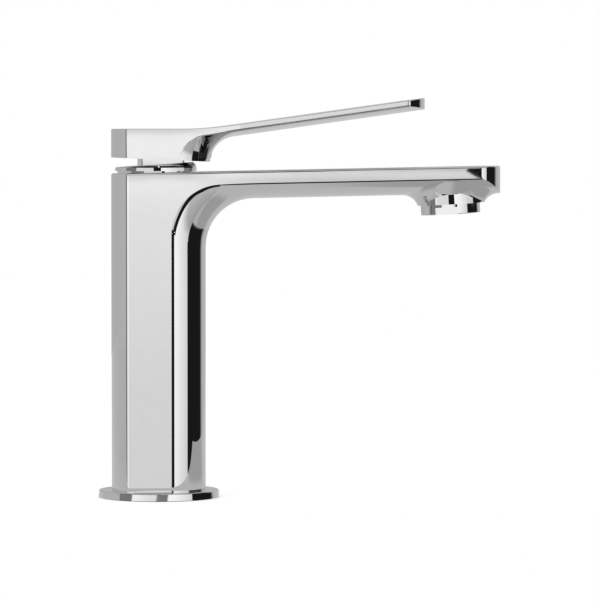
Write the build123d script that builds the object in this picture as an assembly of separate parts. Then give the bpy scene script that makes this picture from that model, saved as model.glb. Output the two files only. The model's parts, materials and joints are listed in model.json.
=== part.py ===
from build123d import *
from math import cos, hypot, radians, sin, sqrt, tan
import os

# Driving dimensions, in millimetres and degrees. X runs along the spout, Z is up and the origin
# is the centre of the base flange on the deck.

# Base flange and deck seal
FLANGE_R = 25.2
FLANGE_DRAFT = 5.0
FLANGE_TOP = 3.4
FLANGE_LIFT = 0.3
FLANGE_EDGE_R = 0.5
GASKET_OUT_R = 23.6
GASKET_IN_R = 19.4
GASKET_T = 1.5

# Column and spout
BODY_W = 34.0
BACK_CORNER_X = -14.9
BACK_SAG = 4.8
COLUMN_EDGE_X = 3.7
COLUMN_BULGE = 15.9
TOP_Z = 135.6
SPOUT_RISE = 1.1
SPOUT_SIDE_H = 5.6
SPOUT_BULGE = 6.0
SPOUT_TIP_X = 144.0
SPOUT_TIP_SAG = 8.8
TIP_CORNER_R = 6.0
EDGE_FILLET_R = 20.6
UNDER_FILLET_R = 20.4
BACK_CORNER_R = 1.6
TOP_EDGE_R = 0.9
SIDE_EDGE_R = 1.2
EDGE_STEP = 0.04
BULGE_ROOT = 3.0

# Hollow of the column
COLUMN_WALL = 4.5
WEB_T = 20.0
SPIGOT_R = 15.5
SPIGOT_BORE_R = 13.4
SPIGOT_BOTTOM = 0.8
SPIGOT_COLLAR_H = 4.0
INLET_THREAD_R = 5.0
INLET_THREAD_L = 12.0
STUD_X = 7.6
STUD_THREAD_R = 4.0
STUD_THREAD_L = 18.0
STUD_BOSS_WALL = 2.2

# Waterway in the spout
CHANNEL_HALF_W = 13.5
CHANNEL_ROOF = 2.4
CHANNEL_FLOOR = 2.0
CHANNEL_START_X = 22.0
RISER_R = 3.5
RISER_LIFT = 13.0
RISER_TOP_X = 27.0

# Outlet boss and aerator, tilted towards the user
OUTLET_X = 123.0
OUTLET_RIM_Z = 122.3
OUTLET_TILT = 3.3
BOSS_R = 13.4
BOSS_LIP = 0.25
BOSS_FLARE_R = 7.0
SKIRT_LIFT = 4.3
SKIRT_H = 5.4
SKIRT_OUT = 3.4
AERATOR_THREAD_R = 12.0
AERATOR_THREAD_L = 4.6
AERATOR_RING_R = 12.45
AERATOR_RING_H = 4.2
AERATOR_BORE_R = 10.2
AERATOR_LIP_R = 9.2
AERATOR_LIP_H = 0.8
AERATOR_EDGE_R = 0.4
OUTLET_HOLE_R = 9.0
WRENCH_FLAT_Y = 11.5
WRENCH_FLAT_H = 3.0
AERATOR_TURN = -17.0
AERATOR_SEAL_T = 1.5
GRID_T = 1.2
GRID_HOLE = 1.9
GRID_PITCH = 2.6
JET_PLATE_T = 1.4
JET_WALL = 1.2
JET_R = 0.6
JET_COUNT = 14
JET_RING_R = 7.0
LIMITER_R = 5.0
LIMITER_HOLE_R = 1.5
LIMITER_T = 1.2
SCREEN_T = 0.5
SCREEN_HOLE_R = 0.55
SCREEN_PITCH = 1.9

# Cartridge, all on the vertical axis that the lever turns about
AXIS_X = 0.95
CHAMBER_R = 12.2
BORE_R = 13.0
BORE_STEP = 1.0
PORT_X = -3.4
PORT_Y = 5.8
PORT_R = 2.4
PORT_SEAL_T = 1.6
PORT_SEAL_WALL = 1.5
CART_BASE_T = 5.0
CART_R = 11.6
CART_WALL = 1.7
CART_H = 25.0
CART_LIP_T = 1.6
CART_FLAT_X = 10.7
DISC_SEAL_T = 1.0
DISC_SEAL_WALL = 1.2
FIXED_DISC_T = 3.5
MOVING_DISC_T = 2.6
MOVING_DISC_R = 8.6
OUTLET_PORT_X = 4.6
OUTLET_PORT_R = 2.6
MIX_POCKET_R = 5.4
MIX_POCKET_H = 1.2
CARRIER_T = 2.4
RAIL_Y = 5.6
RAIL_W = 1.4
RAIL_H = 1.2
RAIL_L = 10.0
ROTOR_NECK_R = 8.0
ROTOR_PROUD = 0.6
PIVOT_DROP = 4.0
PIVOT_PIN_R = 1.5
STEM_SIDE = 6.5
STEM_TOP = 31.0
STEM_FOOT = 4.0
STEM_CHAMFER = 0.5
STEM_NECK_R = 1.1
BALL_R = 1.4
BALL_LIFT = 1.7
SEAL_CORD_R = 0.6
CART_SEAL_DROP = 3.4

# Nut, stop ring and cap
NUT_LOW_H = 4.6
NUT_HEX_H = 3.0
NUT_HEX_AF = 21.0
NUT_BORE_R = 9.2
NUT_CAP_GAP = 0.8
STOP_RING_GAP = 0.4
STOP_RING_T = 2.0
STOP_LUG_R = 9.5
STOP_LUG_ANGLE = 12.0
CAP_X = -1.1
CAP_RING_STEP = 1.0
CAP_RING_T = 1.0
CAP_RING_DEPTH = 0.4
CAP_WALL_H = 1.1
CAP_ROUND_R = 2.9
CAP_REAR_H = 1.55
CAP_FRONT_H = 3.9
CAP_EDGE_R = 0.6
CAP_DRAFT = 2.0
CAP_SKIRT_WALL = 1.5
CAP_SKIRT_L = 4.8
CAP_CORD_R = 0.5
CAP_ROOF_RISE = 0.7
COLLAR_W = 18.2
COLLAR_CORNER_R = 1.2
COLLAR_WALL = 1.5
COLLAR_GAP = 0.2

# Lever handle
HANDLE_H = 11.9
HANDLE_REAR_GAP = 5.6
HANDLE_FRONT_GAP = 3.8
HANDLE_EDGE_X = 6.9
HANDLE_BULGE = 14.6
HANDLE_EDGE_R = 12.0
HANDLE_UNDER_R = 11.0
LEVER_BREAK_X = 19.0
LEVER_RISE = 8.0
LEVER_BLEND_R = 160.0
LEVER_SIDE_H = 2.6
LEVER_BULGE = 2.25
LEVER_ROOT = 1.4
HANDLE_BOW_ANGLE = -8.0
LEVER_TIP_X = 111.9
LEVER_TIP_SAG = 8.4
LEVER_TIP_W = 31.5
LEVER_TIP_CORNER_R = 2.0
LEVER_EDGE_R = 0.4
LEVER_SIDE_EDGE_R = 0.7
MIX_ANGLE = 45.0
LIFT_ANGLE = 11.0
STOP_SLACK_ANGLE = 1.0
ADAPTER_WALL = 1.6
ADAPTER_BOTTOM = 24.6
ADAPTER_TOP_T = 1.2
POCKET_GAP = 2.5
POCKET_ROOF = 24.0
SCREW_R = 2.5
SCREW_L = 8.0
SCREW_HEX_R = 1.25
SCREW_HEX_L = 3.0
SCREW_UP = 27.5
PLUG_R = 3.0
PLUG_L = 2.0
PLUG_OUT_X = 18.6

# Clearances
THREAD_GAP = 0.05
RUN_GAP = 0.05
SEAT_GAP = 0.1
SWING_GAP = 0.35
SEAL_GAP = 0.05
SNUG_GAP = 0.02

# How far cuts run past a face, how steep a top may be and how many steps a sweep takes
CUT_OVER = 1.0
TOP_STEEPEST_ANGLE = 20.0
SWEEP_STEPS = 9

# Sizes worked out from the driving dimensions
HALF_W = BODY_W / 2
BULGE_HALF_W = HALF_W - EDGE_STEP
COLUMN_FRONT_X = COLUMN_EDGE_X + COLUMN_BULGE
BACK_X = BACK_CORNER_X - BACK_SAG
CAP_R = HALF_W
CAP_RING_R = CAP_R - CAP_RING_STEP
CAP_RING_SEAT_Z = TOP_Z - CAP_RING_DEPTH
CAP_BOTTOM = CAP_RING_SEAT_Z + CAP_RING_T
CAP_SKIRT_R = BORE_R - SEAT_GAP
CAP_SKIRT_LOW = CAP_BOTTOM - CAP_SKIRT_L
CAP_ROOF_Z = CAP_BOTTOM + CAP_ROOF_RISE
STOP_RING_R = CAP_SKIRT_R - CAP_SKIRT_WALL - STOP_RING_GAP
NUT_TOP = CAP_SKIRT_LOW - NUT_CAP_GAP
NUT_BOTTOM = NUT_TOP - NUT_HEX_H - NUT_LOW_H
CART_TOP = NUT_BOTTOM
CART_BORE_R = CART_R - CART_WALL
SEAT_Z = CART_TOP - CART_H
WEB_BOTTOM_Z = SEAT_Z - WEB_T
BORE_BOTTOM_Z = CART_TOP - BORE_STEP
CART_SEAL_Z = CART_TOP - CART_SEAL_DROP
CART_BASE_TOP = SEAT_Z + CART_BASE_T
FIXED_DISC_TOP = CART_BASE_TOP + FIXED_DISC_T
MOVING_DISC_TOP = FIXED_DISC_TOP + MOVING_DISC_T
CARRIER_TOP = MOVING_DISC_TOP + CARRIER_T
ROTOR_R = CART_BORE_R - RUN_GAP
ROTOR_BOTTOM = CARRIER_TOP + SEAT_GAP
ROTOR_SHOULDER = CART_TOP - CART_LIP_T - SEAT_GAP
ROTOR_TOP_Z = NUT_TOP + STOP_RING_T + ROTOR_PROUD
PIVOT_Z = CART_TOP - PIVOT_DROP
BALL_ARM = PIVOT_Z - MOVING_DISC_TOP - BALL_LIFT
STEM_LEAN = LIFT_ANGLE / 2
DISC_TRAVEL = 2 * BALL_ARM * sin(radians(STEM_LEAN))
COLLAR_BORE_R = COLLAR_W / 2 - COLLAR_WALL
COLLAR_REACH = COLLAR_CORNER_R + sqrt(2) * (COLLAR_W / 2 - COLLAR_CORNER_R)
HANDLE_REAR_Z = CAP_BOTTOM + HANDLE_REAR_GAP
HANDLE_FRONT_Z = CAP_BOTTOM + HANDLE_FRONT_GAP
HANDLE_TOP_Z = HANDLE_REAR_Z + HANDLE_H
COLLAR_TOP_Z = HANDLE_REAR_Z - COLLAR_GAP
CHANNEL_END_X = OUTLET_X + OUTLET_HOLE_R
AERATOR_TOP = AERATOR_THREAD_L - AERATOR_SEAL_T
AERATOR_LIP_TOP = AERATOR_LIP_H - AERATOR_RING_H
GRID_TOP = AERATOR_LIP_TOP + GRID_T
SCREEN_BOTTOM = AERATOR_TOP - SCREEN_T
JET_PLATE_LOW = SCREEN_BOTTOM - LIMITER_T - JET_PLATE_T
REACH = SPOUT_TIP_X + FLANGE_R
AXIS = Pos(AXIS_X, 0, 0)
OUTLET = Pos(OUTLET_X, 0, OUTLET_RIM_Z) * Rot(0, -OUTLET_TILT, 0)
LEVER = Pos(AXIS_X, 0, PIVOT_Z) * Rot(0, STEM_LEAN, 0)
SLIDER = Pos(AXIS_X - BALL_ARM * sin(radians(STEM_LEAN)), 0, 0)


def disc(radius, low, high, x=0.0, y=0.0):
    """Upright cylinder between two heights."""
    return Pos(x, y, (low + high) / 2) * Cylinder(radius, high - low)


def ring(outer, inner, low, high):
    """Upright tube between two heights."""
    return disc(outer, low, high) - disc(inner, low, high)


def block(x0, x1, y0, y1, z0, z1):
    """Box between two corners."""
    return Pos((x0 + x1) / 2, (y0 + y1) / 2, (z0 + z1) / 2) * Box(x1 - x0, y1 - y0, z1 - z0)


def cord_ring(major, minor, height):
    """Round seal lying flat at a height."""
    return Pos(0, 0, height) * Torus(major, minor)


def across(radius, length):
    """Cylinder that lies along Y."""
    return Rot(90, 0, 0) * Cylinder(radius, length)


def polar(radius, angle):
    return radius * cos(radians(angle)), radius * sin(radians(angle))


def sector(radius, half_angle, low, high):
    """Pie slice that faces the rear."""
    reach = 2 * radius
    points = [polar(reach, 180 + turn) for turn in (-half_angle, 0, half_angle)]
    wedge = make_face(Polyline((0, 0), *points, close=True))
    return Pos(0, 0, low) * extrude(wedge, amount=high - low) & disc(radius, low, high)


def along_screw(radius, start, end):
    """Cylinder on the axis of the handle screw."""
    return Pos((start + end) / 2, 0, SCREW_UP) * Rot(0, 90, 0) * Cylinder(radius, end - start)


def spout_top(x):
    return TOP_Z + x * tan(radians(SPOUT_RISE))


def spout_edge(x):
    return spout_top(x) - SPOUT_SIDE_H


def spout_under(x):
    return spout_edge(x) - SPOUT_BULGE


def lever_top(x):
    return HANDLE_TOP_Z + (x - LEVER_BREAK_X) * tan(radians(LEVER_RISE))


def lever_edge(x):
    return lever_top(x) - LEVER_SIDE_H


def lever_under(x):
    return lever_edge(x) - LEVER_BULGE


def fillet_centre(wall_x, line, rise, radius):
    """Centre of the round between an upright line and a rising line above it."""
    x = wall_x + radius
    return x, line(x) - radius / cos(radians(rise))


def ray_reach(origin, angle, wall_x, line, rise, radius):
    """Distance from a point to the rounded corner of a wall and a rising line, up and back."""
    slope = tan(radians(rise))
    run, climb = -cos(angle), sin(angle)
    centre_x, centre_z = fillet_centre(wall_x, line, rise, radius)
    to_wall = (wall_x - origin[0]) / run
    if origin[1] + to_wall * climb <= centre_z:
        return to_wall
    to_line = (line(origin[0]) - origin[1]) / (climb - slope * run)
    if origin[0] + to_line * run >= centre_x - radius * sin(radians(rise)):
        return to_line
    off_x, off_z = origin[0] - centre_x, origin[1] - centre_z
    half = off_x * run + off_z * climb
    return -half + sqrt(half ** 2 - off_x ** 2 - off_z ** 2 + radius ** 2)


def d_face(half_w, sag, root):
    """Section with straight sides and one bowed side, on the XY plane."""
    sides = Polyline((-half_w, 0), (-half_w, -root), (half_w, -root), (half_w, 0))
    bow = ThreePointArc((half_w, 0), (0, sag), (-half_w, 0))
    return make_face(sides + bow)


def rounded_section(half_w, sag, root, edge_r):
    """Bowed section with rounded edges beside its bow."""
    face = d_face(half_w, sag, root)
    shoulders = [vertex for vertex in face.vertices() if abs(vertex.Y) < EDGE_STEP]
    return fillet(shoulders, edge_r)


def bowed_corner(wall_x, line, rise, edge_r, bulge, under, under_r, root, side_r, start):
    """Bowed front that sweeps round from an upright wall to a rising arm.

    Returns the solid of the corner, its first section and its last section.
    """
    centre = fillet_centre(wall_x + bulge, under, rise, under_r)
    sections = []
    for step in range(SWEEP_STEPS + 1):
        angle = radians(start + (90 - rise - start) * step / SWEEP_STEPS)
        far = ray_reach(centre, angle, wall_x, line, rise, edge_r)
        spot = (centre[0] - far * cos(angle), 0, centre[1] + far * sin(angle))
        plane = Plane(origin=spot, x_dir=(0, 1, 0), z_dir=(-sin(angle), 0, -cos(angle)))
        sections.append(plane * rounded_section(BULGE_HALF_W, far - under_r, root, side_r))
    return loft(sections), sections[0], sections[-1]


def plan_outline(tip_x, tip_sag, tip_half_w, tip_corner_r, shoulder_x):
    """Outline seen from above: bowed back, straight sides and bowed tip."""
    sides = [(BACK_CORNER_X, HALF_W), (shoulder_x, HALF_W), (tip_x - tip_sag, tip_half_w)]
    far_sides = [(x, -y) for x, y in sides]
    back = ThreePointArc(far_sides[0], (BACK_X, 0), sides[0])
    tip = ThreePointArc(sides[-1], (tip_x, 0), far_sides[-1])
    face = make_face(back + Polyline(*sides) + tip + Polyline(*far_sides))
    corners = face.vertices().group_by(Axis.X)
    face = fillet(corners[0], BACK_CORNER_R)
    return fillet(face.vertices().group_by(Axis.X)[-1], tip_corner_r)


def side_slab(points, rounds=()):
    """Side view outline, with chosen corners rounded, made as wide as the part."""
    face = make_face(Polyline(*points, close=True))
    for corner, radius in rounds:
        near = face.vertices().sort_by_distance(Vector(*corner, 0))[0]
        face = fillet(near, radius)
    return extrude(Plane.XZ * face, amount=BODY_W, both=True)


def top_rims(solid):
    """Outer edges of the faces that look up."""
    faces = solid.faces().filter_by(lambda face: face.normal_at().Z > cos(radians(TOP_STEEPEST_ANGLE)))
    edges = ShapeList(edge for face in faces for edge in face.edges())
    return edges.filter_by(Axis.Y, reverse=True)


def spout_plane(x, drop):
    """Plane square to the spout, with its origin below the spout's top."""
    angle = radians(SPOUT_RISE)
    spot = (x, 0, spout_top(x) - drop)
    return Plane(origin=spot, x_dir=(0, 1, 0), z_dir=(-cos(angle), 0, -sin(angle)))


def along_spout(face, length):
    angle = radians(SPOUT_RISE)
    return extrude(face, amount=length, dir=(cos(angle), 0, sin(angle)))


def boss_seam(solid):
    """Edges where the outlet boss leaves the underside of the spout."""
    walls = solid.faces().filter_by(GeomType.CYLINDER)
    wall = walls.filter_by(lambda face: abs(face.radius - BOSS_R) < EDGE_STEP)[0]
    return wall.edges().filter_by(GeomType.CIRCLE, reverse=True).filter_by(GeomType.LINE, reverse=True)


def flared_arm(section):
    """Arm of the spout, with the outlet boss flared out of its underside and cut off at the rim."""
    low = -2 * BOSS_FLARE_R
    boss = OUTLET * disc(BOSS_R, low, SPOUT_BULGE + SPOUT_SIDE_H / 2)
    arm = along_spout(section, REACH) + boss
    arm = fillet(boss_seam(arm), BOSS_FLARE_R)
    skirt = Pos(0, 0, SKIRT_LIFT + SKIRT_H / 2) * Cone(BOSS_R, BOSS_R + SKIRT_OUT, SKIRT_H)
    lip = Pos(0, 0, SKIRT_LIFT / 2) * Cone(BOSS_R + BOSS_LIP, BOSS_R, SKIRT_LIFT)
    return arm + OUTLET * (skirt + lip) - OUTLET * disc(BODY_W, low - CUT_OVER, 0)


def body_shell():
    """Outside of the column, spout and outlet boss, before any hollow is cut."""
    outline = plan_outline(SPOUT_TIP_X, SPOUT_TIP_SAG, HALF_W, TIP_CORNER_R, COLUMN_FRONT_X)
    prism = extrude(outline, amount=TOP_Z + FLANGE_R)
    wall_x = COLUMN_EDGE_X - SIDE_EDGE_R
    inner = (wall_x, spout_edge(wall_x) + SIDE_EDGE_R)
    far = SPOUT_TIP_X + HALF_W
    rear = BACK_X - HALF_W
    points = [(rear, FLANGE_TOP), (wall_x, FLANGE_TOP), inner, (far, spout_edge(far) + SIDE_EDGE_R),
              (far, spout_top(far)), (rear, spout_top(rear))]
    slab = side_slab(points, [(inner, EDGE_FILLET_R + SIDE_EDGE_R)]) & prism
    slab = fillet(top_rims(slab), TOP_EDGE_R)
    corner, low, high = bowed_corner(COLUMN_EDGE_X, spout_edge, SPOUT_RISE, EDGE_FILLET_R, COLUMN_BULGE,
                                     spout_under, UNDER_FILLET_R, BULGE_ROOT, SIDE_EDGE_R, 0)
    column = extrude(low, amount=low.center().Z - FLANGE_TOP, dir=(0, 0, -1))
    spout = flared_arm(high) & prism
    spigot = disc(SPIGOT_R, SPIGOT_BOTTOM, FLANGE_TOP + SPIGOT_COLLAR_H)
    return slab + column + corner + spout + spigot


def column_hollow():
    """Room for the hoses and the stud, open below."""
    half = HALF_W - COLUMN_WALL
    rear = BACK_X + COLUMN_WALL
    bow_x = COLUMN_FRONT_X - COLUMN_WALL - half
    sides = Polyline((bow_x, half), (rear, half), (rear, -half), (bow_x, -half))
    bow = ThreePointArc((bow_x, -half), (bow_x + half, 0), (bow_x, half))
    low = FLANGE_TOP + SPIGOT_COLLAR_H
    face = make_face(sides + bow)
    face = fillet(face.vertices().group_by(Axis.X)[0], COLUMN_WALL)
    room = Pos(0, 0, low) * extrude(face, amount=WEB_BOTTOM_Z - low)
    return room + disc(SPIGOT_BORE_R, SPIGOT_BOTTOM - CUT_OVER, low)


def stud_boss():
    """Boss for the fixing stud, tied to the front of the column."""
    high = SPIGOT_BOTTOM + STUD_THREAD_L + STUD_BOSS_WALL
    tie = block(STUD_X, COLUMN_FRONT_X - COLUMN_WALL / 2, -STUD_THREAD_R, STUD_THREAD_R, FLANGE_TOP, high)
    return disc(STUD_THREAD_R + STUD_BOSS_WALL, SPIGOT_BOTTOM, high, STUD_X) + tie


def stud_hole():
    return disc(STUD_THREAD_R, SPIGOT_BOTTOM - CUT_OVER, SPIGOT_BOTTOM + STUD_THREAD_L, STUD_X)


def inlet_holes():
    """Threaded hose inlets under the cartridge seat, and the ports above them."""
    holes = []
    for side in (-PORT_Y, PORT_Y):
        thread_top = WEB_BOTTOM_Z + INLET_THREAD_L
        holes.append(AXIS * disc(INLET_THREAD_R, WEB_BOTTOM_Z - CUT_OVER, thread_top, PORT_X, side))
        holes.append(AXIS * disc(PORT_R, thread_top - CUT_OVER, SEAT_Z + CUT_OVER, PORT_X, side))
    return holes


def cartridge_chamber():
    high = TOP_Z + HALF_W
    chamber = disc(CHAMBER_R, SEAT_Z, BORE_BOTTOM_Z + CUT_OVER) + disc(BORE_R, BORE_BOTTOM_Z, high)
    ring_seat = disc(CAP_RING_R + SEAT_GAP, CAP_RING_SEAT_Z, high, CAP_X)
    return AXIS * chamber + ring_seat


def spout_waterway():
    """Rising passage out of the chamber, the channel along the spout and the outlet bore."""
    section = d_face(CHANNEL_HALF_W, SPOUT_BULGE - CHANNEL_FLOOR, SPOUT_SIDE_H - CHANNEL_ROOF)
    start = spout_plane(CHANNEL_START_X, SPOUT_SIDE_H)
    channel = along_spout(start * section, CHANNEL_END_X - CHANNEL_START_X)
    low = Vector(AXIS_X + CHAMBER_R, 0, SEAT_Z + RISER_LIFT)
    top = Vector(RISER_TOP_X, 0, spout_edge(RISER_TOP_X))
    way = (top - low).normalized()
    inside = 2 * RISER_R
    foot = Plane(origin=low - way * inside, z_dir=way)
    riser = extrude(foot * Circle(RISER_R), amount=(top - low).length + inside)
    outlet = disc(AERATOR_THREAD_R, -CUT_OVER, AERATOR_THREAD_L)
    outlet += disc(OUTLET_HOLE_R, AERATOR_THREAD_L - CUT_OVER, AERATOR_THREAD_L + SPOUT_BULGE)
    return channel + riser + OUTLET * outlet


def make_body_casting():
    solid = body_shell() - column_hollow() + stud_boss() - stud_hole()
    for hole in inlet_holes():
        solid -= hole
    return solid - cartridge_chamber() - spout_waterway()


def make_base_flange():
    plate = extrude(Circle(FLANGE_R), amount=FLANGE_TOP - FLANGE_LIFT, taper=FLANGE_DRAFT)
    plate = fillet(plate.edges().sort_by(Axis.Z)[-1], FLANGE_EDGE_R)
    plate = Pos(0, 0, FLANGE_LIFT) * plate - disc(SPIGOT_R + SEAT_GAP, 0, FLANGE_TOP)
    return plate - ring(GASKET_OUT_R + SEAL_GAP, GASKET_IN_R - SEAL_GAP, 0, GASKET_T)


def make_deck_gasket():
    return ring(GASKET_OUT_R, GASKET_IN_R, 0, GASKET_T)


def port_pair(shape_at):
    """The same shape at the hot and the cold port."""
    return [AXIS * Pos(PORT_X, side, 0) * shape_at for side in (-PORT_Y, PORT_Y)]


def make_inlet_seals():
    return port_pair(ring(PORT_R + PORT_SEAL_WALL, PORT_R, SEAT_Z, SEAT_Z + PORT_SEAL_T))


def make_disc_seals():
    return port_pair(ring(PORT_R + DISC_SEAL_WALL, PORT_R, CART_BASE_TOP - DISC_SEAL_T, CART_BASE_TOP))


def make_cartridge_base():
    solid = AXIS * disc(CART_R, SEAT_Z, CART_BASE_TOP)
    port = disc(PORT_R, SEAT_Z, CART_BASE_TOP)
    low_pocket = disc(PORT_R + PORT_SEAL_WALL + SEAL_GAP, SEAT_Z, SEAT_Z + PORT_SEAL_T)
    top_pocket = disc(PORT_R + DISC_SEAL_WALL + SEAL_GAP, CART_BASE_TOP - DISC_SEAL_T, CART_BASE_TOP)
    for cut in port_pair(port + low_pocket + top_pocket):
        solid -= cut
    slot_floor = SEAT_Z + PORT_SEAL_T + DISC_SEAL_T
    slot = block(OUTLET_PORT_X - OUTLET_PORT_R, CART_R + CUT_OVER, -OUTLET_PORT_R, OUTLET_PORT_R,
                 slot_floor, CART_BASE_TOP + CUT_OVER)
    return solid - AXIS * slot


def make_cartridge_housing():
    solid = ring(CART_R, CART_BORE_R, CART_BASE_TOP, CART_TOP)
    solid += ring(CART_R, ROTOR_NECK_R + SWING_GAP, CART_TOP - CART_LIP_T, CART_TOP)
    groove_r = CHAMBER_R - 2 * SEAL_GAP - 2 * SEAL_CORD_R
    half = SEAL_CORD_R + SEAL_GAP
    solid -= ring(CHAMBER_R, groove_r, CART_SEAL_Z - half, CART_SEAL_Z + half)
    flat_top = CART_SEAL_Z - 2 * half
    solid -= block(CART_FLAT_X, CHAMBER_R, -CHAMBER_R, CHAMBER_R, CART_BASE_TOP, flat_top)
    return AXIS * solid


def make_cartridge_o_ring():
    return AXIS * cord_ring(CHAMBER_R - SEAL_GAP - SEAL_CORD_R, SEAL_CORD_R, CART_SEAL_Z)


def make_fixed_disc():
    solid = AXIS * disc(CART_BORE_R - RUN_GAP, CART_BASE_TOP, FIXED_DISC_TOP)
    for port in port_pair(disc(PORT_R, CART_BASE_TOP, FIXED_DISC_TOP)):
        solid -= port
    return solid - AXIS * disc(OUTLET_PORT_R, CART_BASE_TOP, FIXED_DISC_TOP, OUTLET_PORT_X)


def make_moving_disc():
    solid = disc(MOVING_DISC_R, FIXED_DISC_TOP, MOVING_DISC_TOP)
    pocket = disc(MIX_POCKET_R, FIXED_DISC_TOP, FIXED_DISC_TOP + MIX_POCKET_H, OUTLET_PORT_X / 2)
    return SLIDER * (solid - pocket)


def make_disc_carrier():
    solid = disc(MOVING_DISC_R, MOVING_DISC_TOP, CARRIER_TOP)
    for side in (-RAIL_Y, RAIL_Y):
        solid += block(-RAIL_L / 2, RAIL_L / 2, side - RAIL_W / 2, side + RAIL_W / 2,
                       CARRIER_TOP, CARRIER_TOP + RAIL_H)
    return SLIDER * (solid - disc(BALL_R + RUN_GAP, MOVING_DISC_TOP, CARRIER_TOP))


def make_rotor():
    solid = disc(ROTOR_R, ROTOR_BOTTOM, ROTOR_SHOULDER) + disc(ROTOR_NECK_R, ROTOR_BOTTOM, ROTOR_TOP_Z)
    solid += sector(STOP_LUG_R, STOP_LUG_ANGLE, NUT_TOP + SEAT_GAP, NUT_TOP + STOP_RING_T)
    swing = (ROTOR_TOP_Z - PIVOT_Z) * tan(radians(STEM_LEAN)) + STEM_SIDE / 2 + SWING_GAP
    slot_y = STEM_SIDE / 2 + RUN_GAP
    solid -= block(-swing, swing, -slot_y, slot_y, PIVOT_Z - STEM_FOOT - SWING_GAP * 2, ROTOR_TOP_Z)
    solid -= disc(BALL_R + DISC_TRAVEL, ROTOR_BOTTOM, PIVOT_Z)
    groove_x = (RAIL_L + DISC_TRAVEL) / 2 + SWING_GAP
    for side in (-RAIL_Y, RAIL_Y):
        wide = RAIL_W / 2 + RUN_GAP
        solid -= block(-groove_x, groove_x, side - wide, side + wide,
                       ROTOR_BOTTOM, CARRIER_TOP + RAIL_H + SEAT_GAP)
    return AXIS * (solid - Pos(0, 0, PIVOT_Z) * across(PIVOT_PIN_R + SNUG_GAP, 2 * ROTOR_R))


def make_pivot_pin():
    return AXIS * Pos(0, 0, PIVOT_Z) * across(PIVOT_PIN_R, 2 * (ROTOR_R - SWING_GAP))


def make_stem():
    half = STEM_SIDE / 2
    solid = block(-half, half, -half, half, -STEM_FOOT, STEM_TOP)
    solid = chamfer(solid.faces().sort_by(Axis.Z)[-1].edges(), STEM_CHAMFER)
    solid += disc(STEM_NECK_R, -BALL_ARM, -STEM_FOOT) + Pos(0, 0, -BALL_ARM) * Sphere(BALL_R)
    return LEVER * (solid - across(PIVOT_PIN_R + RUN_GAP, STEM_SIDE + CUT_OVER))


def make_stem_adapter():
    inner = STEM_SIDE / 2 + RUN_GAP
    outer = inner + ADAPTER_WALL
    high = STEM_TOP + SEAT_GAP + ADAPTER_TOP_T
    solid = block(-outer, outer, -outer, outer, ADAPTER_BOTTOM, high)
    solid -= block(-inner, inner, -inner, inner, ADAPTER_BOTTOM, STEM_TOP + SEAT_GAP)
    return LEVER * (solid - along_screw(SCREW_R + THREAD_GAP, 0, outer + CUT_OVER))


def make_handle_screw():
    start = STEM_SIDE / 2
    solid = along_screw(SCREW_R, start, start + SCREW_L)
    key = extrude(RegularPolygon(SCREW_HEX_R, 6), amount=SCREW_HEX_L)
    key = Pos(start + SCREW_L - SCREW_HEX_L, 0, SCREW_UP) * Rot(0, 90, 0) * key
    return LEVER * (solid - key)


def make_screw_plug():
    return LEVER * along_screw(PLUG_R - SEAT_GAP, PLUG_OUT_X - PLUG_L, PLUG_OUT_X)


def handle_shell():
    """Outside of the handle block and its lever."""
    front = HANDLE_EDGE_X + HANDLE_BULGE
    shoulder = fillet_centre(front, lever_under, LEVER_RISE, HANDLE_UNDER_R)[0]
    outline = plan_outline(LEVER_TIP_X, LEVER_TIP_SAG, LEVER_TIP_W / 2, LEVER_TIP_CORNER_R, shoulder)
    prism = extrude(outline, amount=HANDLE_TOP_Z + SPOUT_TIP_X)
    far = LEVER_TIP_X + HALF_W
    rear = BACK_X - HALF_W
    fall = (HANDLE_FRONT_Z - HANDLE_REAR_Z) / (front - BACK_X)
    low = HANDLE_REAR_Z - COLLAR_W / 2
    wall_x = HANDLE_EDGE_X - LEVER_SIDE_EDGE_R
    inner = (wall_x, lever_edge(wall_x) + LEVER_SIDE_EDGE_R)
    bend = (LEVER_BREAK_X, HANDLE_TOP_Z)
    points = [(rear, low), (wall_x, low), inner, (far, lever_edge(far) + LEVER_SIDE_EDGE_R),
              (far, lever_top(far)), bend, (rear, HANDLE_TOP_Z)]
    slab = side_slab(points, [(inner, HANDLE_EDGE_R + LEVER_SIDE_EDGE_R), (bend, LEVER_BLEND_R)]) & prism
    slab = fillet(top_rims(slab), LEVER_EDGE_R)
    corner, first, last = bowed_corner(HANDLE_EDGE_X, lever_edge, LEVER_RISE, HANDLE_EDGE_R, HANDLE_BULGE,
                                       lever_under, HANDLE_UNDER_R, LEVER_ROOT, LEVER_SIDE_EDGE_R,
                                       HANDLE_BOW_ANGLE)
    angle = radians(LEVER_RISE)
    taper = (HALF_W - LEVER_TIP_W / 2) / (LEVER_TIP_X - LEVER_TIP_SAG - shoulder)
    end_half_w = BULGE_HALF_W - taper * (far - shoulder)
    end_plane = Plane(origin=(far, 0, lever_edge(far)), x_dir=(0, 1, 0), z_dir=(-cos(angle), 0, -sin(angle)))
    end = end_plane * rounded_section(end_half_w, LEVER_BULGE * cos(angle), LEVER_ROOT, LEVER_SIDE_EDGE_R)
    solid = slab + corner + (loft([last, end]) & prism)
    under = [(rear, HANDLE_REAR_Z + (rear - BACK_X) * fall), (far, HANDLE_REAR_Z + (far - BACK_X) * fall),
             (far, low - HALF_W), (rear, low - HALF_W)]
    return solid - side_slab(under)


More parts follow.
